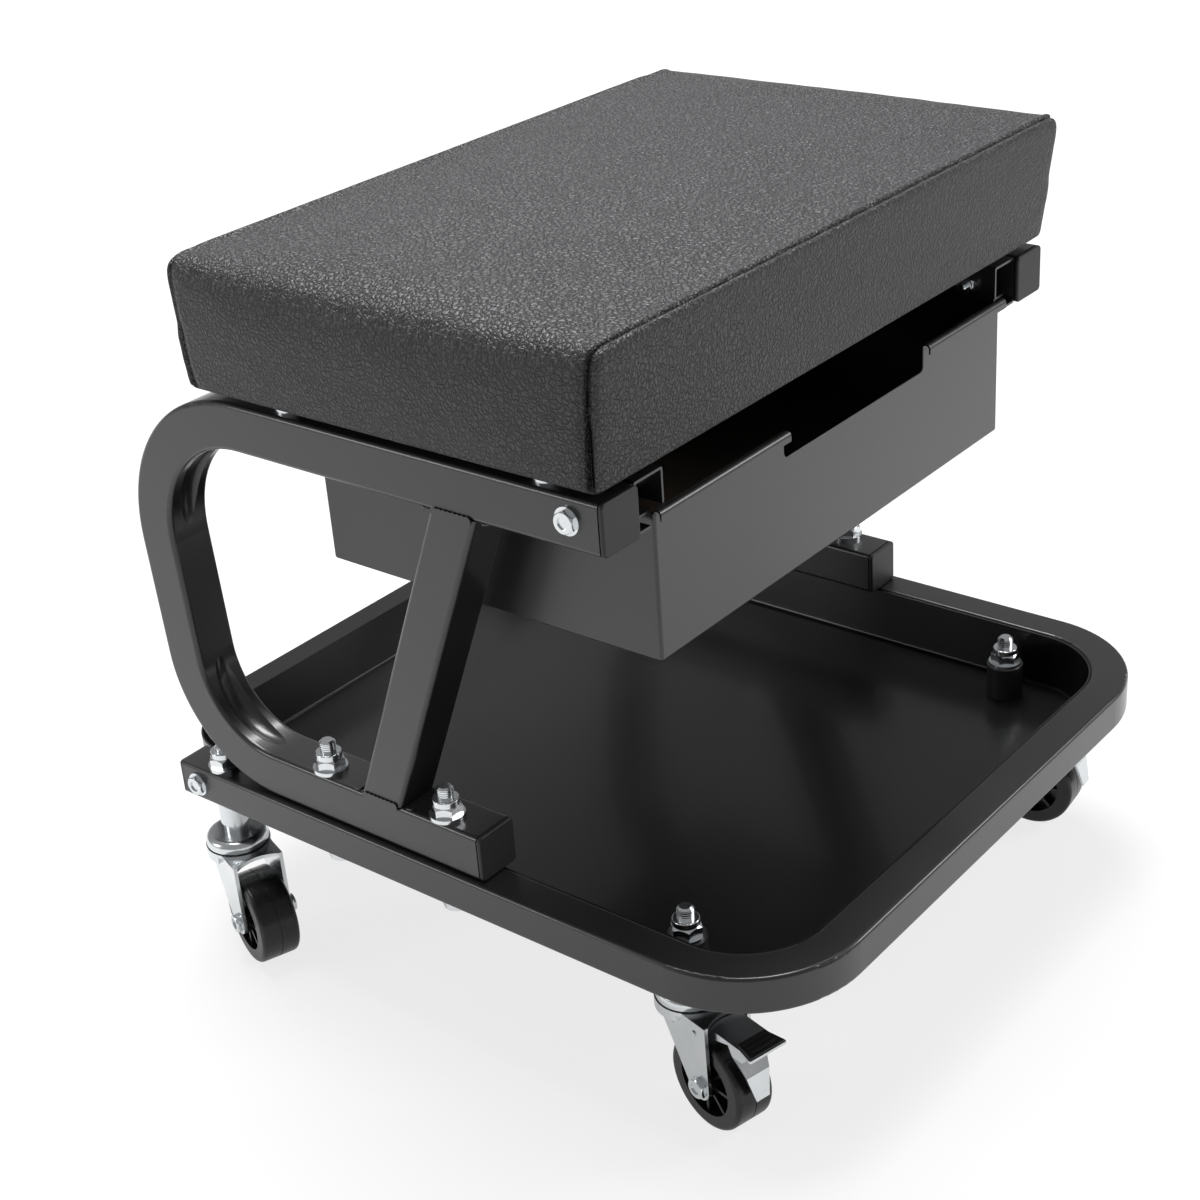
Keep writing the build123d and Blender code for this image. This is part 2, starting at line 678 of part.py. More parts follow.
def cushion_form(inset):
    """The cushion's outer form with every side drawn in by the inset."""
    low = seat_low + inset
    edge = seat_edge - inset
    half = seat_half - inset
    front = seat_front + inset
    back = seat_back - inset
    level = (low + edge) / 2
    with BuildPart() as form:
        with BuildSketch(Plane.XZ.offset(-back - rear_bulge)) as end_view:
            with BuildLine():
                Line((-half, low), (half, low))
                ThreePointArc((half, low), (half + side_bulge, level), (half + side_spread, edge))
                ThreePointArc(
                    (half + side_spread, edge), (0, edge + seat_crown), (-half - side_spread, edge)
                )
                ThreePointArc((-half - side_spread, edge), (-half - side_bulge, level), (-half, low))
            make_face()
            fillet(end_view.vertices().group_by(Axis.Y)[-1], radius=end_rounding - inset)
            fillet(end_view.vertices().group_by(Axis.Y)[0], radius=end_low_rounding - inset)
        extrude(amount=seat_depth + front_flare + 2 * rear_bulge)
        with BuildSketch(Plane.YZ.offset(-half - 2 * side_spread)) as side_view:
            with BuildLine():
                Line((front, low), (back, low))
                bulged = (back + rear_bulge - rear_slope / 2, level)
                ThreePointArc((back, low), bulged, (back - rear_slope, edge))
                ThreePointArc(
                    (back - rear_slope, edge), (seat_middle, edge + seat_crown), (front - front_flare, edge)
                )
                Line((front - front_flare, edge), (front, low))
            make_face()
            rear_corner = side_view.vertices().group_by(Axis.Y)[-1].sort_by(Axis.X)[-1]
            fillet(rear_corner, radius=end_rounding - inset)
            fillet(side_view.vertices().sort_by(Axis.X)[0], radius=front_rounding - inset)
            fillet(side_view.vertices().group_by(Axis.Y)[0], radius=front_low_rounding - inset)
        extrude(amount=seat_width + 4 * side_spread, mode=Mode.INTERSECT)
        reach = half + side_spread + corner_ease
        corner = corner_rounding - inset
        back_reach = back + rear_bulge + corner_ease
        front_column = corner_column(front - corner_ease, back + seat_depth, reach, corner, front_flare)
        back_column = corner_column(front - seat_depth, back_reach, reach, corner, rear_slope)
        add(front_column, mode=Mode.INTERSECT)
        add(back_column, mode=Mode.INTERSECT)
    return form.part


with BuildPart() as seat_cover:
    add(cushion_form(0))
    add(cushion_form(cover_sheet), mode=Mode.SUBTRACT)
    with BuildSketch(Plane.XY.offset(seat_low - overrun)):
        with Locations((0, seat_middle)):
            RectangleRounded(seat_width - 2 * cover_wrap, seat_depth - 2 * cover_wrap, corner_rounding)
        for side in (-1, 1):
            for bolt_y in seat_bolt_ys:
                with Locations((side * arm_x, bolt_y)):
                    Circle(large_radius + bolt_gap)
    extrude(amount=cover_sheet + 2 * overrun, mode=Mode.SUBTRACT)
save(seat_cover.part, "seat_cover")

# Seat board of plywood, on which the foam lies
tee_barrel_radius = 5.2
tee_barrel = 8.0
tee_flange_radius = 10.0
tee_flange = 1.5
board_low = seat_low + cover_sheet + cushion_gap
board_top = board_low + board_thickness

with BuildPart() as seat_board:
    with BuildSketch(Plane.XY.offset(board_low)):
        with Locations((0, seat_middle)):
            RectangleRounded(
                seat_width - 2 * (cover_sheet + board_inset),
                seat_depth - 2 * (cover_sheet + board_inset),
                corner_rounding,
            )
    extrude(amount=board_thickness)
    with BuildSketch(Plane.XY.offset(board_low - overrun)):
        for side in (-1, 1):
            for bolt_y in seat_bolt_ys:
                with Locations((side * arm_x, bolt_y)):
                    Circle(tee_barrel_radius + shaft_gap)
    extrude(amount=board_thickness + 2 * overrun, mode=Mode.SUBTRACT)
save(seat_board.part, "seat_board")

# Seat foam inside the cover, with pockets over the tee nuts
with BuildPart() as seat_foam:
    add(cushion_form(cover_sheet + cushion_gap))
    with BuildSketch(Plane.XY.offset(board_top)):
        with Locations((0, seat_middle)):
            Rectangle(2 * seat_width, 2 * seat_depth)
    extrude(amount=2 * seat_rise, mode=Mode.INTERSECT)
    with BuildSketch(Plane.XY.offset(board_top - overrun)):
        for side in (-1, 1):
            for bolt_y in seat_bolt_ys:
                with Locations((side * arm_x, bolt_y)):
                    Circle(tee_flange_radius + cushion_gap)
    extrude(amount=overrun + tee_flange + cushion_gap, mode=Mode.SUBTRACT)
save(seat_foam.part, "seat_foam")

# Piping along the cushion's front top edge
piping_radius = 1.6
piping_sink = 1.2

with BuildPart() as seat_piping:
    with BuildSketch(Plane.YZ.offset(-seat_half + end_rounding)):
        with Locations((seat_front - front_flare + piping_sink, seat_edge - piping_sink)):
            Circle(piping_radius)
    extrude(amount=seat_width - 2 * end_rounding)
    add(cushion_form(0), mode=Mode.SUBTRACT)
save(seat_piping.part, "seat_piping")

# Seat fastening: bolts, put up through holes below the arms, thick washers and tee nuts on the board
seat_bolt_seat = arm_top - arm_wall
seat_bolt_reach = board_top + tee_flange - seat_bolt_seat

with BuildPart() as seat_bolts:
    for bolt_y in seat_bolt_ys:
        under_wall = Plane(origin=(-arm_x, bolt_y, seat_bolt_seat), z_dir=(0, 0, -1))
        add(
            hex_bolt(
                under_wall,
                large_radius,
                large_hex,
                large_head,
                seat_bolt_reach,
                large_flange_radius,
                large_flange,
            )
        )
save(both_sides(seat_bolts.part), "seat_bolts")

with BuildPart() as seat_washers:
    with BuildSketch(Plane.XY.offset(arm_top)):
        for bolt_y in seat_bolt_ys:
            with Locations((-arm_x, bolt_y)):
                Circle(large_flange_radius)
                Circle(large_radius + shaft_gap, mode=Mode.SUBTRACT)
    extrude(amount=seat_gap)
save(both_sides(seat_washers.part), "seat_washers")

with BuildPart() as tee_nuts:
    with BuildSketch(Plane.XY.offset(board_top)):
        for bolt_y in seat_bolt_ys:
            with Locations((-arm_x, bolt_y)):
                Circle(tee_flange_radius)
    extrude(amount=tee_flange)
    with BuildSketch(Plane.XY.offset(board_top)):
        for bolt_y in seat_bolt_ys:
            with Locations((-arm_x, bolt_y)):
                Circle(tee_barrel_radius)
    extrude(amount=-tee_barrel)
    with BuildSketch(Plane.XY.offset(board_top - tee_barrel - overrun)):
        for bolt_y in seat_bolt_ys:
            with Locations((-arm_x, bolt_y)):
                Circle(large_radius + shaft_gap)
    extrude(amount=tee_barrel + tee_flange + 2 * overrun, mode=Mode.SUBTRACT)
save(both_sides(tee_nuts.part), "tee_nuts")

# Staples that hold the cover's turned-in edge under the board
staple_length = 10.0
staple_width = 1.2
staple_height = 0.6
staple_pitch = 30.0
staple_margin = 4.0
staple_long_count = 10
staple_short_count = 6
staple_x = seat_half - cover_wrap + staple_margin
staple_y = seat_depth / 2 - cover_wrap + staple_margin

with BuildPart() as cover_staples:
    with BuildSketch(Plane.XY.offset(seat_low)):
        with Locations((0, seat_middle)):
            with GridLocations(staple_pitch, 2 * staple_y, staple_long_count, 2):
                Rectangle(staple_length, staple_width)
            with GridLocations(2 * staple_x, staple_pitch, 2, staple_short_count):
                Rectangle(staple_width, staple_length)
    extrude(amount=-staple_height)
save(cover_staples.part, "cover_staples")

# Casters: every piece is built round a swivel axis at the origin, trails towards -Y and is then placed
caster_places = {
    "fl": (-front_stud_x, front_stud_y, front_left_turn),
    "fr": (front_stud_x, front_stud_y, front_right_turn),
    "rl": (-leg_x, rear_stud_y, rear_turn),
    "rr": (leg_x, rear_stud_y, -rear_turn),
}
front_casters = ("fl", "fr")
rear_casters = ("rl", "rr")


def standing(piece, caster):
    """The piece turned and moved to where the named caster stands."""
    place_x, place_y, turn = caster_places[caster]
    return piece.moved(Location((place_x, place_y, mount_level), (0, 0, -turn)))


def at_casters(piece, casters):
    """One copy of the piece at each of the named casters."""
    with BuildPart() as copies:
        for caster in casters:
            add(standing(piece, caster))
    return copies.part


# Studs through tray and legs, with spacers in front, collars behind and a nut on each
front_spacer = 19.0
spacer_radius = 10.0
collar_radius = 7.5
front_nut_seat = tray_sheet + front_spacer
rear_nut_seat = tray_depth
collar_height = base_low - mount_level


def stud(nut_seat, tip):
    """A stud that reaches up through its nut and stands out by its tip."""
    with BuildPart() as rod:
        with BuildSketch(Plane.XY):
            Circle(large_radius)
        extrude(amount=nut_seat + large_nut + tip)
        chamfer(rod.faces().sort_by(Axis.Z)[-1].edges(), length=large_radius * tip_share)
    return rod.part


def stud_nut(nut_seat):
    """The flange nut that holds a stud."""
    return flange_nut(
        Plane.XY.offset(nut_seat), large_radius, large_hex, large_nut, large_flange_radius, large_flange
    )


with BuildPart() as caster_studs:
    add(at_casters(stud(front_nut_seat, large_tip), front_casters))
    add(at_casters(stud(rear_nut_seat, rear_tip), rear_casters))
save(caster_studs.part, "caster_studs")

with BuildPart() as caster_nuts:
    add(at_casters(stud_nut(front_nut_seat), front_casters))
    add(at_casters(stud_nut(rear_nut_seat), rear_casters))
save(caster_nuts.part, "caster_nuts")

with BuildPart() as spacer:
    with BuildSketch(Plane.XY.offset(tray_sheet)):
        Circle(spacer_radius)
        Circle(large_radius + shaft_gap, mode=Mode.SUBTRACT)
    extrude(amount=front_spacer)
save(at_casters(spacer.part, front_casters), "stud_spacers")

with BuildPart() as collar:
    with BuildSketch(Plane.XY):
        Circle(collar_radius)
        Circle(large_radius + shaft_gap, mode=Mode.SUBTRACT)
    extrude(amount=collar_height)
save(at_casters(collar.part, rear_casters), "stud_collars")

# Upper races: neck, bell over the balls and the kingpin riveted below the fork
neck_radius = 6.5
neck_height = 6.0
race_radius = 17.0
race_sheet = 1.4
race_depth = 6.0
race_rounding = 4.0
kingpin_radius = 5.0
rivet_radius = 8.0
rivet_height = 1.5
ball_radius = 2.5
ball_circle = 11.5
ball_count = 12
fork_sheet = 2.0
plate_top = -(neck_height + race_sheet + running_gap + 2 * ball_radius)
plate_low = plate_top - fork_sheet
rivet_top = plate_low - running_gap

with BuildPart() as race:
    with BuildSketch(Plane.XZ) as race_section:
        with BuildLine():
            Polyline(
                (0, 0),
                (neck_radius, 0),
                (neck_radius, -neck_height),
                (race_radius, -neck_height),
                (race_radius, -neck_height - race_depth),
                (race_radius - race_sheet, -neck_height - race_depth),
                (race_radius - race_sheet, -neck_height - race_sheet),
                (kingpin_radius, -neck_height - race_sheet),
                (kingpin_radius, rivet_top),
                (rivet_radius, rivet_top),
                (rivet_radius, rivet_top - rivet_height),
                (0, rivet_top - rivet_height),
                close=True,
            )
        make_face()
        outer_bend = race_section.vertices().sort_by_distance((race_radius, -neck_height))[0]
        fillet(outer_bend, radius=race_rounding)
        inner_bend = race_section.vertices().sort_by_distance(
            (race_radius - race_sheet, -neck_height - race_sheet)
        )[0]
        fillet(inner_bend, radius=race_rounding - race_sheet)
    revolve(axis=Axis.Z)
save(at_casters(race.part, caster_places), "caster_races")

# Balls that run between the race and the fork's plate
with BuildPart() as balls:
    with Locations((0, 0, plate_top + ball_radius)):
        with PolarLocations(ball_circle, ball_count):
            Sphere(ball_radius)

# Forks: a top plate with a skirt behind and two legs that narrow to the axle
fork_inner = 12.2
fork_outer = fork_inner + fork_sheet
fork_radius = 17.5
fork_reach = 27.0
fork_back = 8.0
skirt_depth = 3.5
front_hollow_radius = 20.0
front_hollow = 4.0
boss_radius = 7.0
slot_length = 6.0
slot_width = 2.5
slot_drop = 7.5
slot_back = 2.0
pivot_trail = 19.0
pivot_drop = 19.2
pin_radius = 1.5


def fork(braked):
    """A caster fork, with holes for the brake's pin where it carries a brake."""
    with BuildPart() as body:
        with BuildSketch(Plane.XY.offset(plate_low)):
            Circle(fork_radius)
            with Locations((0, -fork_reach / 2)):
                Rectangle(2 * fork_outer, fork_reach)
            with Locations((0, front_hollow - front_hollow_radius - fork_reach)):
                Circle(front_hollow_radius, mode=Mode.SUBTRACT)
        extrude(amount=fork_sheet)
        with BuildSketch(Plane.XY.offset(plate_top)):
            Circle(fork_radius)
            Circle(fork_radius - fork_sheet, mode=Mode.SUBTRACT)
            with Locations((0, -fork_back - fork_radius)):
                Rectangle(2 * fork_radius, 2 * fork_radius, mode=Mode.SUBTRACT)
        extrude(amount=-fork_sheet - skirt_depth)
        for side in (-1, 1):
            with BuildSketch(Plane.YZ.offset(side * fork_inner)) as leg_side:
                with Locations((-caster_trail, -wheel_drop)):
                    Circle(boss_radius)
                with Locations(((fork_back - fork_reach) / 2, plate_top - fork_sheet / 2)):
                    Rectangle(fork_reach + fork_back, fork_sheet)
                make_hull(leg_side.edges())
                with Locations((-slot_back, plate_top - slot_drop)):
                    SlotOverall(slot_length, slot_width, mode=Mode.SUBTRACT)
                with Locations((-caster_trail, -wheel_drop)):
                    Circle(small_radius + shaft_gap, mode=Mode.SUBTRACT)
                if braked:
                    with Locations((-pivot_trail, -pivot_drop)):
                        Circle(pin_radius + shaft_gap, mode=Mode.SUBTRACT)
            extrude(amount=side * fork_sheet)
        with BuildSketch(Plane.XY.offset(plate_low - overrun)):
            Circle(kingpin_radius + shaft_gap)
        extrude(amount=fork_sheet + 2 * overrun, mode=Mode.SUBTRACT)
    return body.part


# Wheels: a solid tyre with a ribbed recess on both sides of its web
shoulder_radius = 2.5
rim_radius = 17.0
hub_radius = 7.0
hub_width = 24.0
web_width = 10.0
rib_count = 8
rib_width = 1.6
rib_height = 4.5
sleeve_radius = 4.0
bore_gap = 0.08
parting_width = 0.5
parting_depth = 0.4

with BuildPart() as wheel:
    with BuildSketch(Plane.XY) as wheel_section:
        with Locations((0, (rim_radius + wheel_radius) / 2)):
            Rectangle(wheel_width, wheel_radius - rim_radius)
        fillet(wheel_section.vertices().group_by(Axis.Y)[-1], radius=shoulder_radius)
        with Locations((0, (hub_radius + rim_radius) / 2)):
            Rectangle(web_width, rim_radius - hub_radius)
        with Locations((0, (sleeve_radius + bore_gap + hub_radius) / 2)):
            Rectangle(hub_width, hub_radius - sleeve_radius - bore_gap)
        with Locations((0, wheel_radius)):
            Rectangle(parting_width, 2 * parting_depth, mode=Mode.SUBTRACT)
    revolve(axis=Axis.X)
    for side in (-1, 1):
        with BuildSketch(Plane.YZ.offset(side * web_width / 2)):
            with PolarLocations((hub_radius + rim_radius) / 2, rib_count):
                Rectangle(rim_radius - hub_radius + 2 * overrun, rib_width)
        extrude(amount=side * rib_height)

# Sleeve, bolt and nut of each wheel's axle
axle_head = 2.4
axle_nut_height = 4.0
axle_flange = 0.4

with BuildPart() as sleeve:
    with BuildSketch(Plane.YZ.offset(-fork_inner)):
        Circle(sleeve_radius)
        Circle(small_radius + shaft_gap, mode=Mode.SUBTRACT)
    extrude(amount=2 * fork_inner)

axle_bolt = hex_bolt(
    Plane(origin=(-fork_outer, 0, 0), z_dir=(-1, 0, 0)),
    small_radius,
    small_hex,
    axle_head,
    2 * fork_outer + axle_nut_height + small_radius * tip_share,
    small_hex / 2,
    axle_flange,
)
axle_nut = flange_nut(
    Plane(origin=(fork_outer, 0, 0), z_dir=(1, 0, 0)),
    small_radius,
    small_hex,
    axle_nut_height,
    small_hex / 2,
    axle_flange,
)

axle_place = Location((0, -caster_trail, -wheel_drop))
for caster in caster_places:
    save(standing(fork(caster in front_casters), caster), f"fork_{caster}")
    save(standing(balls.part, caster), f"balls_{caster}")
    save(standing(wheel.part.moved(axle_place), caster), f"wheel_{caster}")
    save(standing(sleeve.part.moved(axle_place), caster), f"sleeve_{caster}")
    outward = 1 if caster.endswith("l") else -1
    axle_turn = axle_place * Location((0, 0, 0), (0, 0, 90 * (1 - outward)))
    save(standing(axle_bolt.moved(axle_turn), caster), f"axle_bolt_{caster}")
    save(standing(axle_nut.moved(axle_turn), caster), f"axle_nut_{caster}")

# Brake levers of the front casters: a pedal on two ears, with a shoe that comes down on the tread
lever_gap = 0.5
lever_half = 9.5
flare_half = 11.5
flare_start = 47.0
lever_sheet = 1.4
ear_radius = 3.2
ear_end = 40.0
pedal_start = 17.0
pedal_end = 56.0
pedal_rounding = 1.0
shoe_start = 38.0
shoe_knee = 46.5
knee_drop = 33.0
shoe_end = 49.6
shoe_drop = 46.0
shoe_tip_half = 4.0
gusset_start = 53.0
gusset_end = 48.0
gusset_drop = 22.0
pin_proud = 0.6
tread_rib_count = 3
tread_rib_pitch = 4.0
tread_rib_width = 1.4
tread_rib_height = 0.6
tread_rib_inset = 2.0
lever_top = plate_low - lever_gap
lever_low = lever_top - lever_sheet
gusset_share = (gusset_drop + lever_low) / (knee_drop + lever_low)
gusset_foot = shoe_start + (shoe_knee - shoe_start) * gusset_share

with BuildPart() as shoe:
    with BuildSketch(Plane.YZ):
        with BuildLine():
            Polyline(
                (-shoe_start, lever_low),
                (-shoe_start - lever_sheet, lever_low),
                (-shoe_knee - lever_sheet, -knee_drop),
                (-shoe_end - lever_sheet, -shoe_drop),
                (-shoe_end, -shoe_drop),
                (-shoe_knee, -knee_drop),
                close=True,
            )
        make_face()
    extrude(amount=lever_half, both=True)
    with BuildSketch(Plane.XZ):
        with BuildLine():
            Polyline(
                (-lever_half, lever_low),
                (lever_half, lever_low),
                (lever_half, -gusset_drop),
                (shoe_tip_half, -shoe_drop),
                (-shoe_tip_half, -shoe_drop),
                (-lever_half, -gusset_drop),
                close=True,
            )
        make_face()
    extrude(amount=pedal_end, both=True, mode=Mode.INTERSECT)

with BuildPart() as lever:
    with BuildSketch(Plane.XY.offset(lever_low)) as pedal:
        with BuildLine():
            Polyline(
                (-lever_half, -pedal_start),
                (-lever_half, -flare_start),
                (-flare_half, -pedal_end),
                (flare_half, -pedal_end),
                (lever_half, -flare_start),
                (lever_half, -pedal_start),
                close=True,
            )
        make_face()
        fillet(pedal.vertices().group_by(Axis.Y)[0], radius=pedal_rounding)
    extrude(amount=lever_sheet)
    with BuildSketch(Plane.XY.offset(lever_top)):
        with Locations((0, tread_rib_count * tread_rib_pitch / 2 + tread_rib_inset - pedal_end)):
            with GridLocations(tread_rib_pitch, tread_rib_pitch, 1, tread_rib_count):
                Rectangle(2 * (lever_half - tread_rib_inset), tread_rib_width)
    extrude(amount=tread_rib_height)
    for side in (-1, 1):
        with BuildSketch(Plane.YZ.offset(side * (lever_half - lever_sheet))) as ear:
            with Locations((-pivot_trail, -pivot_drop)):
                Circle(ear_radius)
            with Locations((-(pedal_start + ear_end) / 2, lever_top - lever_sheet / 2)):
                Rectangle(ear_end - pedal_start, lever_sheet)
            make_hull(ear.edges())
            with BuildLine():
                Polyline(
                    (-shoe_start, lever_low),
                    (-gusset_start, lever_low),
                    (-gusset_end, -gusset_drop),
                    (-gusset_foot, -gusset_drop),
                    close=True,
                )
            make_face()
        extrude(amount=side * lever_sheet)
    add(shoe.part)
    with BuildSketch(Plane.YZ):
        with Locations((-pivot_trail, -pivot_drop)):
            Circle(pin_radius)
    extrude(amount=fork_outer + pin_proud, both=True)
for caster in front_casters:
    save(standing(lever.part, caster), f"brake_{caster}")
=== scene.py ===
from math import copysign, cos, exp, pi, radians, sin, sqrt

import bmesh
import bpy
from mathutils import Matrix, Vector, noise


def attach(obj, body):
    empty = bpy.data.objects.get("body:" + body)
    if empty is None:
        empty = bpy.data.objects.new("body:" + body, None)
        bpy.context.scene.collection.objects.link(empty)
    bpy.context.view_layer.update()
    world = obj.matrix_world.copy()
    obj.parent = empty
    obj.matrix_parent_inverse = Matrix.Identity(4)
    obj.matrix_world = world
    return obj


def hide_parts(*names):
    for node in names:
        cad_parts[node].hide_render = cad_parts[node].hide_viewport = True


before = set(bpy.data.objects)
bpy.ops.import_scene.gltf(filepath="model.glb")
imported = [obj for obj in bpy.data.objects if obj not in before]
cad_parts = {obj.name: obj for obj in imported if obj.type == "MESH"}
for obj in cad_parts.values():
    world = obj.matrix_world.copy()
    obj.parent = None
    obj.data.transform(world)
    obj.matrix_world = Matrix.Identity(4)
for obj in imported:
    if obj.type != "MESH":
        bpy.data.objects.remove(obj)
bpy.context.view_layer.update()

# The view: a camera at the photograph's angle, standing to the front left and looking down.
# It leans a little to one side, as the photograph does, and all places are in metres.
camera_place = Vector((-0.78509, -0.63265, 0.69121))
camera_azimuth = radians(-49.7)
camera_elevation = radians(27.35)
camera_roll = radians(-4.3)
camera_focus = 2103.04
picture_width = 1200.0
sensor_width = 36.0

towards = Vector((
    sin(camera_azimuth) * cos(camera_elevation),
    -cos(camera_azimuth) * cos(camera_elevation),
    sin(camera_elevation),
))
level = Vector((0.0, 0.0, 1.0)).cross(towards).normalized()
upright = towards.cross(level)
across = cos(camera_roll) * level + sin(camera_roll) * upright
above = cos(camera_roll) * upright - sin(camera_roll) * level
turned = Matrix((across, above, towards)).transposed().to_4x4()

camera_data = bpy.data.cameras.new("photo_camera")
camera_data.sensor_width = sensor_width
camera_data.lens = camera_focus / picture_width * sensor_width
camera = bpy.data.objects.new("photo_camera", camera_data)
camera.matrix_world = Matrix.Translation(camera_place) @ turned
bpy.context.scene.collection.objects.link(camera)
bpy.context.scene.camera = camera
bpy.context.scene.view_settings.view_transform = "Standard"

# Studio light: a broad softbox overhead, one low at the left and behind, and one at the front right.
# Each is a square panel that faces the stool, given by its place, its side and its power in watts.
stool_middle = Vector((0.0, 0.0, 0.2))
softboxes = {
    "overhead_box": (Vector((0.25, 0.35, 1.85)), 1.1, 54.0),
    "left_box": (Vector((-1.45, 1.1, 0.8)), 0.5, 5.0),
    "front_box": (Vector((1.2, -1.2, 1.05)), 0.6, 9.0),
}

for box_name, (box_place, box_side, box_power) in softboxes.items():
    panel = bpy.data.lights.new(box_name, "AREA")
    panel.shape = "SQUARE"
    panel.size = box_side
    panel.energy = box_power
    lamp = bpy.data.objects.new(box_name, panel)
    lamp.location = box_place
    lamp.rotation_euler = (box_place - stool_middle).to_track_quat("Z", "Y").to_euler()
    bpy.context.scene.collection.objects.link(lamp)


# Shader maths: a socket that takes Python's operators, and a finish that adds any node.
# Every material below is one finish, written as an expression on the piece's own coordinates.
class Wave:
    """A number that varies over a surface, as one socket of a finish."""

    def __init__(self, finish, socket):
        self.finish = finish
        self.socket = socket

    def math(self, operation, first, second):
        return self.finish.node("Math", {"operation": operation}, (first, second))

    def __add__(self, other):
        return self.math("ADD", self, other)

    __radd__ = __add__

    def __mul__(self, other):
        return self.math("MULTIPLY", self, other)

    __rmul__ = __mul__

    def __rsub__(self, other):
        return self.math("SUBTRACT", other, self)


class Finish:
    """A material under construction, or the air's own shader where its tree is given."""

    def __init__(self, name, tree=None):
        if tree is None:
            self.material = bpy.data.materials.new(name)
            self.material.use_nodes = True
            tree = self.material.node_tree
        self.tree = tree
        self.tree.nodes.clear()
        self.place = self.node("TexCoord", out="Object")

    def node(self, kind, settings=None, inputs=(), out=0):
        """Adds one node: its settings first, then the values and links of its sockets."""
        made = self.tree.nodes.new("ShaderNode" + kind)
        for name, value in (settings or {}).items():
            if name == "stops":
                ramp = made.color_ramp.elements
                while len(ramp) < len(value):
                    ramp.new(value[-1][0])
                for stop, (position, shade) in zip(ramp, value):
                    stop.position = position
                    stop.color = (*shade, 1.0)
            else:
                setattr(made, name, value)
        pairs = inputs.items() if isinstance(inputs, dict) else enumerate(inputs)
        for key, value in pairs:
            if isinstance(value, Wave):
                self.tree.links.new(value.socket, made.inputs[key])
            else:
                made.inputs[key].default_value = value
        return Wave(self, made.outputs[out]) if made.outputs else None

    def grain(self, scale, detail, roughness, place=None):
        """Soft noise between 0 and 1."""
        values = {"Vector": place or self.place, "Scale": scale, "Detail": detail, "Roughness": roughness}
        return self.node("TexNoise", {}, values)

    def blend(self, share, first, second):
        """One colour turning into another."""
        return self.node("Mix", {"data_type": "RGBA"}, {0: share, 6: first, 7: second}, out=2)

    def relief(self, height, depth):
        """The surface normal of a height between 0 and 1 that stands for the given depth in metres."""
        return self.node("Bump", {}, {"Height": height, "Distance": depth, "Strength": 1.0})

    def surface(self, **sockets):
        """Closes the finish with its shader and gives the material."""
        shader = self.node("BsdfPrincipled", {}, {k.replace("_", " "): v for k, v in sockets.items()})
        self.node("OutputMaterial", {}, {"Surface": shader})
        return self.material


def dress(material, *names):
    """Gives CAD nodes their finish."""
    for name in names:
        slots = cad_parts[name].data.materials
        slots.clear()
        slots.append(material)


# The floor: a wide, pale studio sweep that the wheels stand on.
# The camera sees it nearly white, and it keeps the stool's soft shadow.
floor_reach = 12.0
floor_segments = 96
floor_glow = 0.68
glow_strength = 1.16
mirror_dimming = 0.58
shadow_reach = 0.45
sweep_start = 1.3
floor_grey = (0.68, 0.68, 0.68, 1.0)
white = (1.0, 1.0, 1.0, 1.0)

floor_mesh = bmesh.new()
bmesh.ops.create_circle(floor_mesh, cap_ends=True, segments=floor_segments, radius=floor_reach)
floor_data = bpy.data.meshes.new("studio_floor")
floor_mesh.to_mesh(floor_data)
floor_mesh.free()
floor = bpy.data.objects.new("studio_floor", floor_data)
bpy.context.scene.collection.objects.link(floor)

pale = Finish("pale_floor")
seen = pale.node("LightPath", out="Is Camera Ray")
mirrored = pale.node("LightPath", out="Is Glossy Ray")
lit = pale.node("BsdfDiffuse", {}, {"Color": floor_grey})
glow = pale.node("Emission", {}, {"Color": white, "Strength": glow_strength})
away = pale.node("VectorMath", {"operation": "LENGTH"}, (pale.place,), out="Value")
sweep = {"Value": away, "From Min": shadow_reach, "From Max": sweep_start, "To Min": floor_glow}
share = pale.node("MapRange", {"interpolation_type": "SMOOTHSTEP"}, sweep)
glow_share = (seen + mirrored * mirror_dimming) * share
mixed = pale.node("MixShader", {}, {0: glow_share, 1: lit, 2: glow})
pale.node("OutputMaterial", {}, {"Surface": mixed})
floor_data.materials.append(pale.material)

# The studio's walls: white where the camera sees them, and a dim fill light otherwise.
# Glossy surfaces see them a little brighter than the fill, so that metal has something to mirror.
air_fill = 0.15
air_mirrored = 0.14

world = bpy.data.worlds.new("studio_air")
bpy.context.scene.world = world
world.use_nodes = True
air = Finish("studio_air", world.node_tree)
seen = air.node("LightPath", out="Is Camera Ray")
mirrored = air.node("LightPath", out="Is Glossy Ray")
brightness = air_fill + seen * (1.0 - air_fill) + mirrored * air_mirrored
sky = air.node("Background", {}, {"Color": white, "Strength": brightness})
air.node("OutputWorld", {}, {"Surface": sky})

# The steel frame: square tube, bent and welded, with the drawer's rails, all under black powder coat.
# The baked powder is satin, with a faint orange peel, and is rubbed a little smoother here and there.
# Here and below, a noise is given by its scale, its detail and its roughness.
coat_black = (0.009, 0.009, 0.0098, 1.0)
coat_worn = (0.014, 0.0138, 0.0152, 1.0)
coat_peel = (520.0, 3.0, 0.55)
coat_peel_depth = 0.00005
coat_rubbing = (14.0, 4.0, 0.6)
coat_roughness = 0.3
coat_roughness_spread = 0.14
coat_gloss = 0.55
coat_gloss_roughness = 0.14

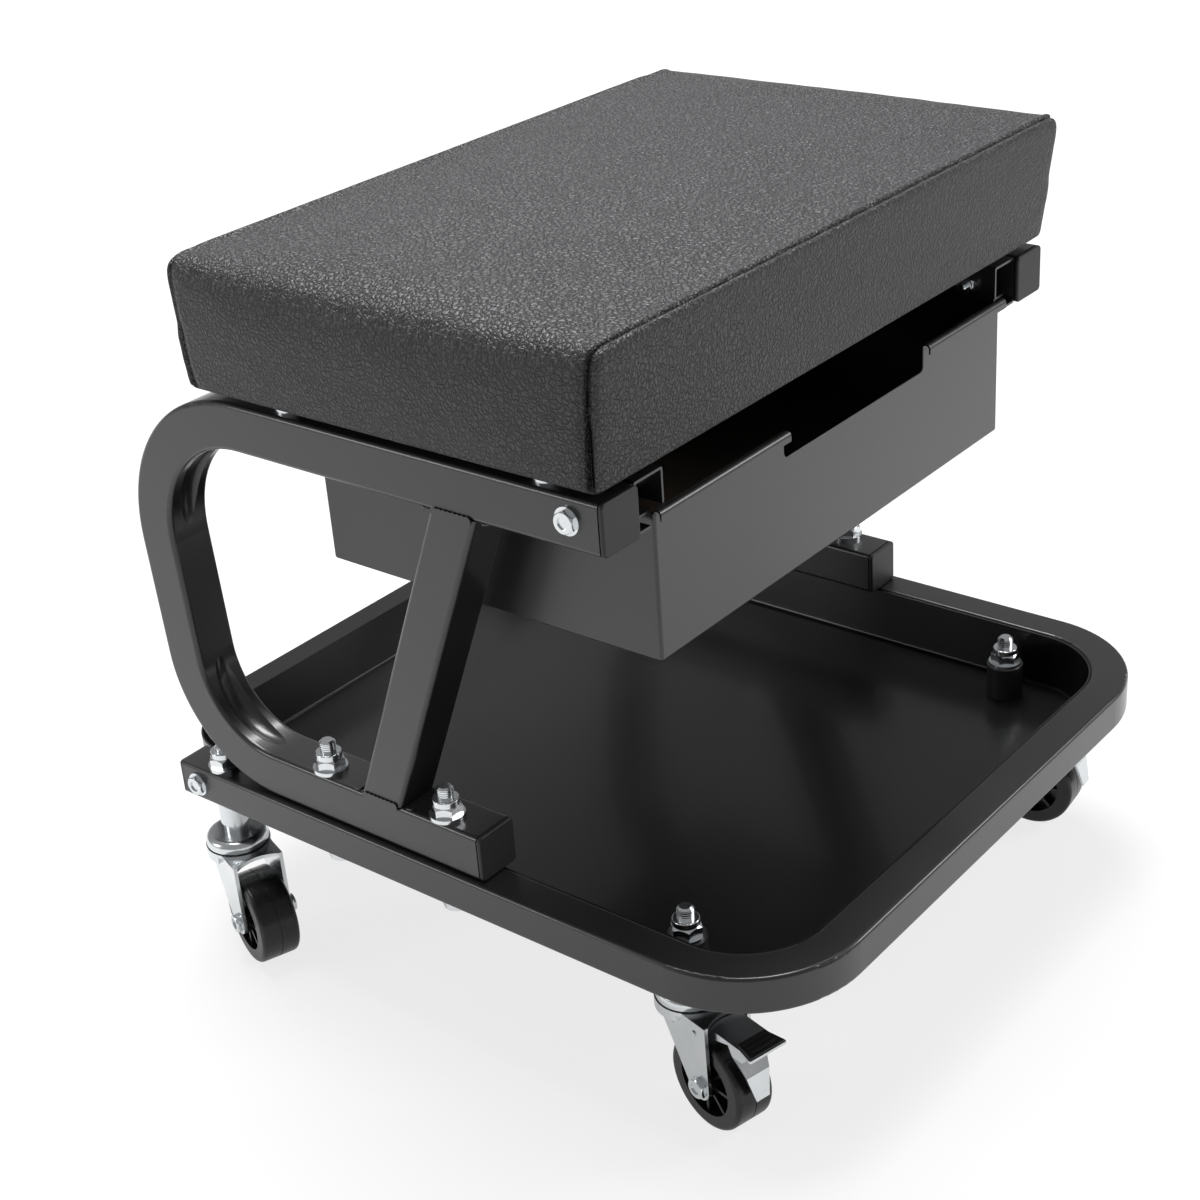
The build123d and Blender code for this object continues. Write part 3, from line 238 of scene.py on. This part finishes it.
coat = Finish("frame_powder_coat")
rubbed = coat.grain(*coat_rubbing)
frame_coat = coat.surface(
    Base_Color=coat.blend(rubbed, coat_black, coat_worn),
    Roughness=coat_roughness + rubbed * coat_roughness_spread,
    Coat_Weight=coat_gloss,
    Coat_Roughness=coat_gloss_roughness,
    Normal=coat.relief(coat.grain(*coat_peel), coat_peel_depth),
)
dress(
    frame_coat, "base_frame", "side_frame_left", "side_frame_right", "brace_left", "brace_right",
    "weld_beads", "rail_left", "rail_right",
)

# The tool tray: folded from thin sheet and coated like the frame, but on a smoother ground.
# Tools have rubbed its floor, so its gloss varies more than the frame's does.
tray_black = (0.006, 0.006, 0.0066, 1.0)
tray_worn = (0.0095, 0.0094, 0.0102, 1.0)
tray_peel = (700.0, 2.0, 0.5)
tray_peel_depth = 0.00004
tray_rubbing = (9.0, 5.0, 0.62)
tray_roughness = 0.2
tray_roughness_spread = 0.1
tray_gloss = 0.15
tray_gloss_roughness = 0.1

tray_shade = Finish("tray_powder_coat")
scuffed = tray_shade.grain(*tray_rubbing)
tray_coat = tray_shade.surface(
    Base_Color=tray_shade.blend(scuffed, tray_black, tray_worn),
    Roughness=tray_roughness + scuffed * tray_roughness_spread,
    Coat_Weight=tray_gloss,
    Coat_Roughness=tray_gloss_roughness,
    Normal=tray_shade.relief(tray_shade.grain(*tray_peel), tray_peel_depth),
)
dress(tray_coat, "tool_tray")

# The drawer: folded from sheet steel, its front edge rolled outwards, with a finer and flatter coat.
# It runs on two strips of black plastic.
drawer_black = (0.0125, 0.0122, 0.014, 1.0)
drawer_worn = (0.0165, 0.016, 0.0183, 1.0)
drawer_peel = (800.0, 2.0, 0.5)
drawer_peel_depth = 0.00004
drawer_rubbing = (7.0, 3.0, 0.5)
drawer_roughness = 0.3
drawer_roughness_spread = 0.1
drawer_gloss = 0.5
drawer_gloss_roughness = 0.24

drawer_shade = Finish("drawer_powder_coat")
handled = drawer_shade.grain(*drawer_rubbing)
drawer_coat = drawer_shade.surface(
    Base_Color=drawer_shade.blend(handled, drawer_black, drawer_worn),
    Roughness=drawer_roughness + handled * drawer_roughness_spread,
    Coat_Weight=drawer_gloss,
    Coat_Roughness=drawer_gloss_roughness,
    Normal=drawer_shade.relief(drawer_shade.grain(*drawer_peel), drawer_peel_depth),
)
dress(drawer_coat, "drawer_box")

# Moulded black plastic: the tube plugs, end caps, spacers and the drawer's glide strips.
# It has a fine spark-eroded grain from its mould.
plastic_black = (0.012, 0.012, 0.0125, 1.0)
plastic_worn = (0.019, 0.019, 0.02, 1.0)
plastic_clouds = (60.0, 2.0, 0.5)
plastic_erosion = (2600.0, 2.0, 0.6)
plastic_erosion_depth = 0.00004
plastic_roughness = 0.42
plastic_roughness_spread = 0.12

plastic = Finish("moulded_black_plastic")
eroded = plastic.grain(*plastic_erosion)
moulded = plastic.surface(
    Base_Color=plastic.blend(plastic.grain(*plastic_clouds), plastic_black, plastic_worn),
    Roughness=plastic_roughness + eroded * plastic_roughness_spread,
    Normal=plastic.relief(eroded, plastic_erosion_depth),
)
dress(moulded, "base_caps", "frame_plugs", "stud_spacers", "drawer_glides")

# Zinc-plated fasteners: bolts, nuts, studs, screws, tee nuts and staples.
# Bright plating over turned and pressed steel, with a slight mottle and fine tool marks.
zinc_dull = (0.68, 0.71, 0.74, 1.0)
zinc_bright = (0.84, 0.86, 0.87, 1.0)
zinc_mottle = (180.0, 4.0, 0.6)
zinc_marks = (1600.0, 2.0, 0.5)
zinc_mark_depth = 0.000008
zinc_roughness = 0.12
zinc_roughness_spread = 0.12

zinc = Finish("bright_zinc")
mottled = zinc.grain(*zinc_mottle)
bright_zinc = zinc.surface(
    Base_Color=zinc.blend(mottled, zinc_dull, zinc_bright),
    Metallic=1.0,
    Roughness=zinc_roughness + mottled * zinc_roughness_spread,
    Normal=zinc.relief(zinc.grain(*zinc_marks), zinc_mark_depth),
)
fasteners = [
    "frame_bolts", "frame_nuts", "tray_bolts", "tray_nuts", "rail_bolts", "rail_nuts", "rail_screws",
    "tee_nuts", "seat_bolts", "seat_washers", "cover_staples", "caster_studs", "caster_nuts",
]
corners = ("fl", "fr", "rl", "rr")
for corner in corners:
    fasteners += [f"{piece}_{corner}" for piece in ("balls", "axle_bolt", "axle_nut", "sleeve")]
dress(bright_zinc, *fasteners)

# Pressed zinc sheet: the casters' forks, races and collars and the brake levers.
# Rolled sheet shows a faint grain along it and a cloudy plating.
sheet_dull = (0.66, 0.69, 0.71, 1.0)
sheet_bright = (0.8, 0.82, 0.83, 1.0)
sheet_clouds = (70.0, 4.0, 0.6)
sheet_marks = (900.0, 2.0, 0.5)
sheet_mark_depth = 0.000008
sheet_roughness = 0.17
sheet_roughness_spread = 0.12

sheet = Finish("pressed_zinc_sheet")
clouded = sheet.grain(*sheet_clouds)
pressed_zinc = sheet.surface(
    Base_Color=sheet.blend(clouded, sheet_dull, sheet_bright),
    Metallic=1.0,
    Roughness=sheet_roughness + clouded * sheet_roughness_spread,
    Normal=sheet.relief(sheet.grain(*sheet_marks), sheet_mark_depth),
)
dress(pressed_zinc, "caster_races", "stud_collars", "brake_fl", "brake_fr", *[f"fork_{c}" for c in corners])

# The threads that stand out of the nuts: rolled into the zinc-plated steel of the studs and bolts.
# Each is a short run of rings round its rod, from inside the nut up to the chamfered tip.
# A row of the table gives a rod's place, with a twin on the other side, its nut's top and its tip.
thread_pitch = 0.00125
thread_crest = 0.00425
thread_root = 0.0036
thread_core = 0.003
thread_steps = 32
thread_overlap = 0.0006
tip_chamfer = 0.001
threads = (
    ((0.153, -0.1345), 0.1055, 0.112),
    ((0.182, 0.1495), 0.1195, 0.1225),
    ((0.18, -0.0125), 0.1445, 0.151),
    ((0.18, 0.0675), 0.1445, 0.151),
)

thread_mesh = bmesh.new()
for (rod_x, rod_y), nut_top, tip in threads:
    for side in (-1, 1):
        rod = Vector((side * rod_x, rod_y, 0.0))
        low, high = nut_top - thread_overlap, tip - tip_chamfer
        half_turns = 2 * round((high - low) / thread_pitch)
        outline = [(thread_core, low)]
        for number in range(half_turns + 1):
            radius = (thread_root, thread_crest)[number % 2]
            outline.append((radius, low + (high - low) * number / half_turns))
        outline.append((thread_core, high))
        profile = [thread_mesh.verts.new(rod + Vector((radius, 0.0, z))) for radius, z in outline]
        lines = [thread_mesh.edges.new(pair) for pair in zip(profile, profile[1:] + profile[:1])]
        bmesh.ops.spin(
            thread_mesh, geom=profile + lines, cent=rod, axis=(0, 0, 1), angle=2 * pi, steps=thread_steps,
            use_merge=True,
        )
bmesh.ops.recalc_face_normals(thread_mesh, faces=thread_mesh.faces)
thread_data = bpy.data.meshes.new("rod_threads")
thread_mesh.to_mesh(thread_data)
thread_mesh.free()
thread_data.materials.append(bright_zinc)
rod_threads = bpy.data.objects.new("rod_threads", thread_data)
bpy.context.scene.collection.objects.link(rod_threads)
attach(rod_threads, "frame")

# The pedal pads: ribbed black plastic, pressed over the outer end of each brake pedal.
# Each flares with its pedal, and three ribs across it keep the shoe from slipping.
# A pedal is given by its caster's place and the caster's turn in degrees.
pad_start = 0.0435
pad_end = 0.0556
pad_half_start = 0.0082
pad_half_end = 0.0106
pad_thickness = 0.0012
pad_bevel = 0.0004
pad_bevel_segments = 2
pad_ribs = 3
pad_rib_width = 0.0013
pad_rib_height = 0.0005
pad_rib_share = 0.85
pedal_level = 0.0598
pedals = {"fl": (-0.153, -0.1345, 14.0), "fr": (0.153, -0.1345, -6.0)}

for caster, (pedal_x, pedal_y, turn) in pedals.items():
    pad_mesh = bmesh.new()
    bmesh.ops.create_cube(pad_mesh, size=1.0)
    for vert in pad_mesh.verts:
        outward = 0.5 - vert.co.y
        half = pad_half_start + (pad_half_end - pad_half_start) * outward
        reach = pad_start + (pad_end - pad_start) * outward
        vert.co = Vector((2 * half * vert.co.x, -reach, (vert.co.z + 0.5) * pad_thickness))
    for number in range(pad_ribs):
        rib = bmesh.ops.create_cube(pad_mesh, size=1.0)["verts"]
        rib_size = Vector((2 * pad_half_start * pad_rib_share, pad_rib_width, 2 * pad_rib_height))
        rib_reach = pad_start + (pad_end - pad_start) * (number + 1) / (pad_ribs + 1)
        bmesh.ops.scale(pad_mesh, vec=rib_size, verts=rib)
        bmesh.ops.translate(pad_mesh, vec=(0.0, -rib_reach, pad_thickness), verts=rib)
    bmesh.ops.bevel(
        pad_mesh, geom=pad_mesh.edges[:], offset=pad_bevel, segments=pad_bevel_segments, affect="EDGES",
        profile=0.5, material=-1,
    )
    bmesh.ops.rotate(pad_mesh, matrix=Matrix.Rotation(radians(-turn), 3, "Z"), verts=pad_mesh.verts)
    bmesh.ops.translate(pad_mesh, vec=(pedal_x, pedal_y, pedal_level), verts=pad_mesh.verts)
    pad_data = bpy.data.meshes.new(f"pedal_pad_{caster}")
    pad_mesh.to_mesh(pad_data)
    pad_mesh.free()
    pad_data.materials.append(moulded)
    pad = bpy.data.objects.new(f"pedal_pad_{caster}", pad_data)
    bpy.context.scene.collection.objects.link(pad)
    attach(pad, f"brake_lever_{caster}")

# The wheels: one hard black moulding each, with a ribbed web and a smooth tread.
# The tread is polished by rolling and carries a little dust.
wheel_clean = (0.006, 0.006, 0.0065, 1.0)
wheel_dusty = (0.012, 0.0118, 0.012, 1.0)
wheel_dust = (150.0, 4.0, 0.6)
wheel_scratches = (1300.0, 2.0, 0.5)
wheel_scratch_depth = 0.00002
wheel_roughness = 0.22
wheel_roughness_spread = 0.12

tyre = Finish("hard_black_wheel")
dusty = tyre.grain(*wheel_dust)
wheel_black = tyre.surface(
    Base_Color=tyre.blend(dusty, wheel_clean, wheel_dusty),
    Roughness=wheel_roughness + dusty * wheel_roughness_spread,
    Normal=tyre.relief(tyre.grain(*wheel_scratches), wheel_scratch_depth),
)
dress(wheel_black, *[f"wheel_{corner}" for corner in corners])

# The seat board: bare plywood that shows through the opening under the seat.
# Its face veneer has long grain along the seat, with darker pores.
ply_dark = (0.33, 0.19, 0.09, 1.0)
ply_pale = (0.62, 0.43, 0.25, 1.0)
ply_stretch = (6.0, 120.0, 120.0)
ply_grain = (1.0, 6.0, 0.6)
ply_grain_depth = 0.0001
ply_roughness = 0.62
ply_roughness_spread = 0.2

ply = Finish("bare_plywood")
along = ply.node("Mapping", {}, {"Vector": ply.place, "Scale": ply_stretch})
veneer = ply.grain(*ply_grain, along)
raw_ply = ply.surface(
    Base_Color=ply.blend(veneer, ply_dark, ply_pale),
    Roughness=ply_roughness + veneer * ply_roughness_spread,
    Normal=ply.relief(veneer, ply_grain_depth),
)
dress(raw_ply, "seat_board")

# The seat cushion: foam on the board under a sewn cover of grained black vinyl.
# One sheet wraps over the ends and the top, and a panel is sewn into it in front and behind, so a
# closed seam runs round both, deeper and with a thin welt at the ends, and the cover goes under the board.
seat_half = 0.1895
side_lean = 0.005
seat_front = -0.13
seat_back = 0.118
seat_low = 0.334
seat_edge = 0.401
front_lean = 0.008
roll_radius = Vector((0.009, 0.0045, 0.004))
end_roll = 0.01
end_roll_start = 0.025
plain_step = 0.0046
edge_steps = (0.001, 0.003, 0.006, 0.0095)
seam_inset = 0.0034
seam_steps = (-0.0028, -0.0021, -0.0014, -0.0007, 0.0, 0.0007, 0.0014, 0.0021, 0.003, 0.004)
seam_margin = 0.0085
crown_height = 0.0024
crown_start_share = 0.5
side_bulge = 0.0035
bulge_start_share = 0.8
pinned_margin = 0.011
cloth_quality = 5
cloth_frames = 20
cloth_pressure = 4.0
cloth_cap = 0.0035
window_wrap = 0.028
window_level = 0.0006
window_lift = 0.006
side_facing = (0.4, 0.9)
under_facing = -0.5
top_groove_width = 0.0008
side_groove_width = 0.0027
top_groove = 0.0014
side_groove = 0.006
welt_width = 0.0007
welt_height = 0.0038
# Painted shade: the share of the seam grooves' painted shade that is taken off the welts.
welt_unshaded_share = 0.8
ridge_offset = 0.0023
ridge_width = 0.001
top_ridge = 0.0006
side_ridge = 0.0016
pucker_depth = 0.00045
pucker_reach = 0.012
pucker_cells = (170.0, 60.0)
top_pucker_share = 0.2
dent_depth = 0.0006
dent_cells = ((22.0, 1.0), (60.0, 0.5))


def stations(low, high, step, extra):
    """Places for cuts from low to high, evenly stepped between the extra ones at both ends."""
    margin = max(extra)
    places = {low + share for share in extra} | {high - share for share in extra}
    count = round((high - low - 2 * margin) / step)
    places |= {low + margin + (high - low - 2 * margin) * number / count for number in range(1, count)}
    return sorted(places)


def smooth(value, start, end):
    """0 before the start, 1 after the end and an easy curve between them."""
    share = min(max((value - start) / (end - start), 0.0), 1.0)
    return share * share * (3 - 2 * share)


def hump(share):
    """0 at both ends of a run from 0 to 1, and 1 in its middle."""
    return max(4 * share * (1 - share), 0.0)


def bell(distance, width):
    """1 at no distance, falling off to both sides within about the width."""
    return exp(-((distance / width) ** 2))


# A cube is cut where it will bend, its edges are rolled, and its faces lean, bulge and crown.
cushion_mesh = bmesh.new()
bmesh.ops.create_cube(cushion_mesh, size=1.0)
size = Vector((2 * seat_half, seat_back - seat_front, seat_edge - seat_low))
bmesh.ops.scale(cushion_mesh, vec=size, verts=cushion_mesh.verts)
middle = Vector((0.0, (seat_front + seat_back) / 2, (seat_low + seat_edge) / 2))
bmesh.ops.translate(cushion_mesh, vec=middle, verts=cushion_mesh.verts)
seam_places = tuple(seam_inset + step for step in seam_steps) + (seam_margin,)
cuts = (
    (Vector((1, 0, 0)), stations(-seat_half, seat_half, plain_step, edge_steps)),
    (Vector((0, 1, 0)), stations(seat_front, seat_back, plain_step, seam_places)),
    (Vector((0, 0, 1)), stations(seat_low, seat_edge, plain_step, edge_steps)),
)
for direction, places in cuts:
    for place in places:
        everything = cushion_mesh.verts[:] + cushion_mesh.edges[:] + cushion_mesh.faces[:]
        bmesh.ops.bisect_plane(cushion_mesh, geom=everything, plane_co=direction * place, plane_no=direction)

for vert in cushion_mesh.verts:
    at_end = smooth(abs(vert.co.x), seat_half - end_roll_start, seat_half - end_roll)
    if vert.co.z < middle.z:
        roll = Vector((roll_radius.z, roll_radius.y, roll_radius.z))
    else:
        roll = Vector((roll_radius.x, roll_radius.y, roll_radius.z + (end_roll - roll_radius.z) * at_end))
    inner = Vector((
        min(max(vert.co.x, roll.x - seat_half), seat_half - roll.x),
        min(max(vert.co.y, seat_front + roll.y), seat_back - roll.y),
        min(max(vert.co.z, seat_low + roll.z), seat_edge - roll.z),
    ))
    out = Vector([(vert.co[k] - inner[k]) / roll[k] for k in range(3)])
    if out.length > 1.0:
        out.normalize()
    vert.co = inner + Vector([out[k] * roll[k] for k in range(3)])
    rise = (vert.co.z - seat_low) / size.z
    run = (vert.co.y - seat_front) / size.y
    wide = vert.co.x / seat_half
    swell = max(1 - wide * wide, 0.0) * hump(run)
    vert.co.z += crown_height * swell * smooth(rise, crown_start_share, 1.0)
    ends = smooth(abs(wide), bulge_start_share, 1.0) * hump(rise) * sqrt(hump(run))
    vert.co.x += copysign(side_bulge * ends + side_lean * rise * abs(wide), wide)
    vert.co.y -= front_lean * rise * (1 - run)

cushion_data = bpy.data.meshes.new("seat_cushion")
cushion_mesh.to_mesh(cushion_data)
cushion_mesh.free()
cushion = bpy.data.objects.new("seat_cushion", cushion_data)
bpy.context.scene.collection.objects.link(cushion)
front_plane = Vector((0.0, -size.z, -front_lean)).normalized()
rear_plane = Vector((0.0, 1.0, 0.0))


def depth_behind(place, plane, face_y):
    """How far a place lies behind the front or rear panel."""
    return -(place - Vector((0.0, face_y, seat_low))).dot(plane)


def inside_panels(place):
    """How far a place lies behind the nearer one of the two panels."""
    return min(depth_behind(place, front_plane, seat_front), depth_behind(place, rear_plane, seat_back))


# The stuffing: the foam's pressure blows the cover out between its seams and the board's edge.
sewn = cushion.vertex_groups.new(name="sewn")
for vert in cushion_data.vertices:
    held = 1 - smooth(inside_panels(vert.co), seam_margin, seam_margin + pinned_margin)
    held = max(held, 1 - smooth(vert.co.z, seat_low, seat_low + pinned_margin))
    sewn.add([vert.index], held, "REPLACE")
rested = [vert.co.copy() for vert in cushion_data.vertices]
cloth = cushion.modifiers.new("stuffing", "CLOTH")
cloth.settings.quality = cloth_quality
cloth.settings.use_pressure = True
cloth.settings.uniform_pressure_force = cloth_pressure
cloth.settings.vertex_group_mass = "sewn"
cloth.settings.effector_weights.gravity = 0.0
for number in range(1, cloth_frames + 1):
    bpy.context.scene.frame_set(number)
stuffed = cushion.evaluated_get(bpy.context.evaluated_depsgraph_get()).to_mesh()
moved = [vert.co.copy() for vert in stuffed.vertices]
cushion.modifiers.remove(cloth)
bpy.context.scene.frame_set(1)
for vert, start, end in zip(cushion_data.vertices, rested, moved):
    step = end - start
    vert.co = start + step * min(1.0, cloth_cap / max(step.length, cloth_cap))
cushion.vertex_groups.clear()

# The sewing: seams pressed in, welts, puckers and dents, and the window under the board left open.
rounder = cushion.modifiers.new("rounder", "SUBSURF")
rounder.levels = rounder.render_levels = 1
rounded = bpy.data.meshes.new_from_object(cushion.evaluated_get(bpy.context.evaluated_depsgraph_get()))
cushion.modifiers.remove(rounder)
cushion.data = rounded
rounded.name = "seat_cushion"

seam_shade_layer = rounded.attributes.new("seam", "FLOAT", "POINT")
pucker_across, pucker_along = pucker_cells
normals = [vert.normal.copy() for vert in rounded.vertices]
for vert, normal in zip(rounded.vertices, normals):
    inside = inside_panels(vert.co)
    from_seam = inside - seam_inset
    sideways = smooth(abs(normal.x), *side_facing)
    groove = bell(from_seam, top_groove_width + (side_groove_width - top_groove_width) * sideways)
    welt = sideways * bell(from_seam, welt_width)
    ridge = bell(abs(from_seam) - ridge_offset, ridge_width)
    # Painted shade: this layer darkens the seam grooves in the colour, less on the welts at the ends.
    seam_shade_layer.data[vert.index].value = groove * (1 - welt_unshaded_share * welt)
    pucker_place = (vert.co.x * pucker_across, inside * pucker_along, vert.co.z * pucker_across)
    pucker = noise.noise(Vector(pucker_place)) * (1 - smooth(abs(from_seam), 0.0, pucker_reach))
    dent = sum(share * noise.noise(vert.co * cell) for cell, share in dent_cells)
    shift = (
        (top_ridge + (side_ridge - top_ridge) * sideways) * ridge
        - (top_groove + (side_groove - top_groove) * sideways) * groove
        + welt_height * welt
        + pucker_depth * pucker * (top_pucker_share + (1 - top_pucker_share) * sideways)
        + dent_depth * dent * smooth(inside, 0.0, seam_margin)
    )
    if normal.z > under_facing:
        vert.co = vert.co + normal * shift
    under = vert.co.z < seat_low + window_level and abs(vert.co.x) < seat_half - window_wrap
    if under and seat_front + window_wrap < vert.co.y < seat_back - window_wrap:
        vert.co.z += window_lift
rounded.polygons.foreach_set("use_smooth", [True] * len(rounded.polygons))

# The vinyl: pebbles between fine valleys, embossed into the sheet, with soft creases over them.
# The pebbles' tops are a little rougher than the valleys; painted shade darkens the valleys, and darkens the
# seam grooves nearly to black.
vinyl_black = (0.042, 0.042, 0.045, 1.0)
vinyl_worn = (0.058, 0.058, 0.062, 1.0)
# Painted shade: the colours and shares below darken the grain's valleys and the seam grooves.
valley_shade_black = (0.008, 0.008, 0.009, 1.0)
seam_shade_black = (0.002, 0.002, 0.002, 1.0)
valley_shade_share = 0.85
seam_shade_share = 0.95
pebble_scale = 380.0
pebble_stops = ((0.0, (0, 0, 0)), (0.16, (0.62, 0.62, 0.62)), (0.5, (1, 1, 1)))
pebble_share = 0.7
wobble_scale = 330.0
wobble_detail = 2.0
wobble_share = 0.004
vinyl_creases = (150.0, 4.0, 0.6)
crease_share = 0.6
vinyl_wear = (16.0, 4.0, 0.55)
vinyl_depth = 0.0009
vinyl_roughness = 0.36
pebble_roughness = 0.06
wear_roughness = 0.08

vinyl = Finish("grained_black_vinyl")
wobble_values = {"Vector": vinyl.place, "Scale": wobble_scale, "Detail": wobble_detail}
wobble = vinyl.node("TexNoise", {}, wobble_values, out="Color")
warped = vinyl.node("Mix", {"data_type": "VECTOR"}, {0: wobble_share, 4: vinyl.place, 5: wobble}, out=1)
cells = vinyl.node("TexVoronoi", {"feature": "DISTANCE_TO_EDGE"}, {"Vector": warped, "Scale": pebble_scale})
pebble = vinyl.node("ValToRGB", {"stops": pebble_stops}, (cells,))
worn = vinyl.grain(*vinyl_wear)
seam = vinyl.node("Attribute", {"attribute_name": "seam"}, out="Fac")
cover_tone = vinyl.blend(worn, vinyl_black, vinyl_worn)
# Painted shade: the grain's valleys are darkened in the colour, so the pebble tops look paler.
valley_shaded_tone = vinyl.blend((1 - pebble) * valley_shade_share, cover_tone, valley_shade_black)
vinyl_height = pebble * pebble_share + vinyl.grain(*vinyl_creases) * crease_share
vinyl_cover = vinyl.surface(
    # Painted shade: the seam grooves are darkened nearly to black.
    Base_Color=vinyl.blend(seam * seam_shade_share, valley_shaded_tone, seam_shade_black),
    Roughness=vinyl_roughness + pebble * pebble_roughness + worn * wear_roughness,
    Normal=vinyl.relief(vinyl_height, vinyl_depth),
)
rounded.materials.append(vinyl_cover)
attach(cushion, "frame")
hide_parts("seat_cover", "seat_foam", "seat_piping")
